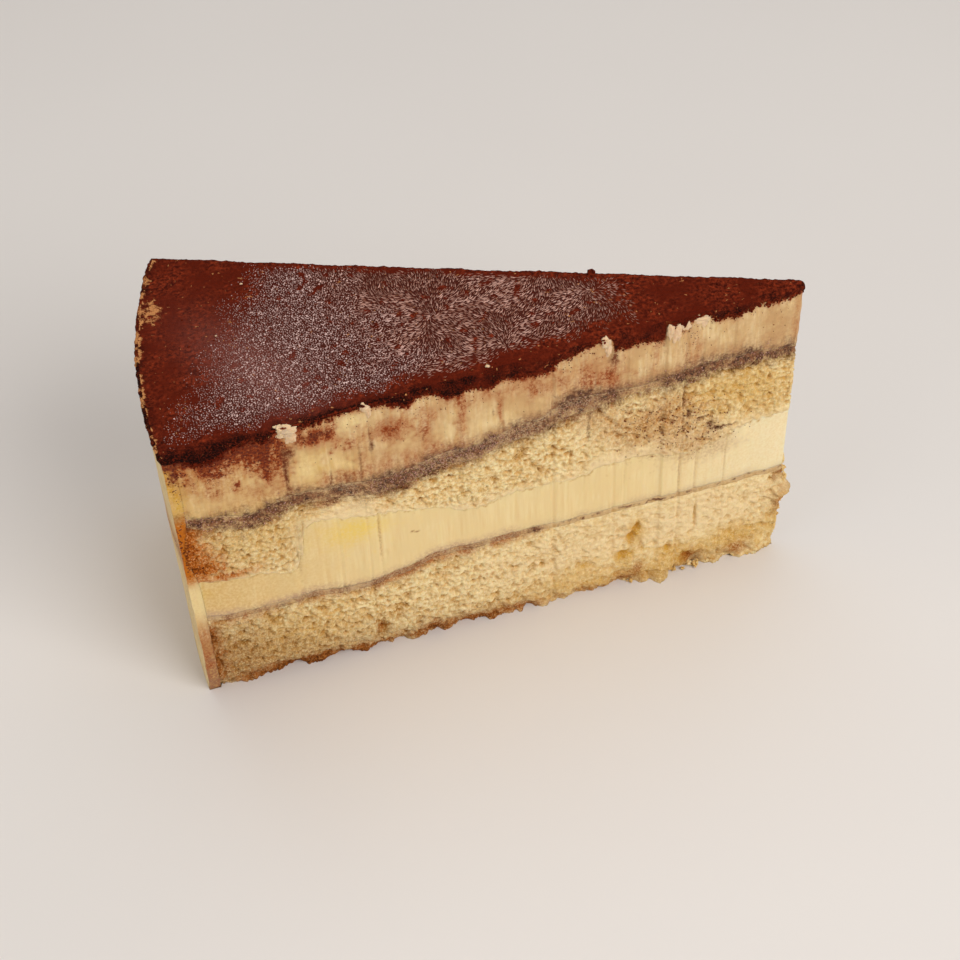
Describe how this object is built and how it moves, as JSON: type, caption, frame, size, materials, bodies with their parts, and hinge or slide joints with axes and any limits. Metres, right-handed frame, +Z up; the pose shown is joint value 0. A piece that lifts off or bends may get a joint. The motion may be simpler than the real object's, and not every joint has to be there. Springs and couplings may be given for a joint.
{
  "type": "slice of layer cake",
  "caption": "Wedge-shaped slice of cream and sponge layer cake with coffee-soaked seams, a cream-coated rim and a cocoa-dusted top.",
  "frame": {"origin": "on the surface that the slice stands on, below the middle of the slice's box", "axes": "+X from the rim to the point of the slice, +Y from the shown cut face to the far one, +Z up"},
  "size_m": [0.1252, 0.0572, 0.0692],
  "materials": {
    "sponge": "open torn crumb, dry and dull, pale straw with darker pores",
    "coffee_soaked_crumb": "damp coffee-soaked crumb, lightly frosted",
    "cream": "set cream cut with a knife, soft satin with faint upright drag marks",
    "cocoa_powder": "dry sifted cocoa, dull, frosted with fine ice crystals in the middle"
  },
  "bodies": {
    "root": {"sponge_bottom": "sponge", "coffee_lower": "coffee_soaked_crumb", "cream_middle": "cream", "sponge_middle": "sponge", "coffee_upper": "coffee_soaked_crumb", "cream_top": "cream", "cocoa_top": "cocoa_powder", "cream_side": "cream"}
  },
  "joints": []
}
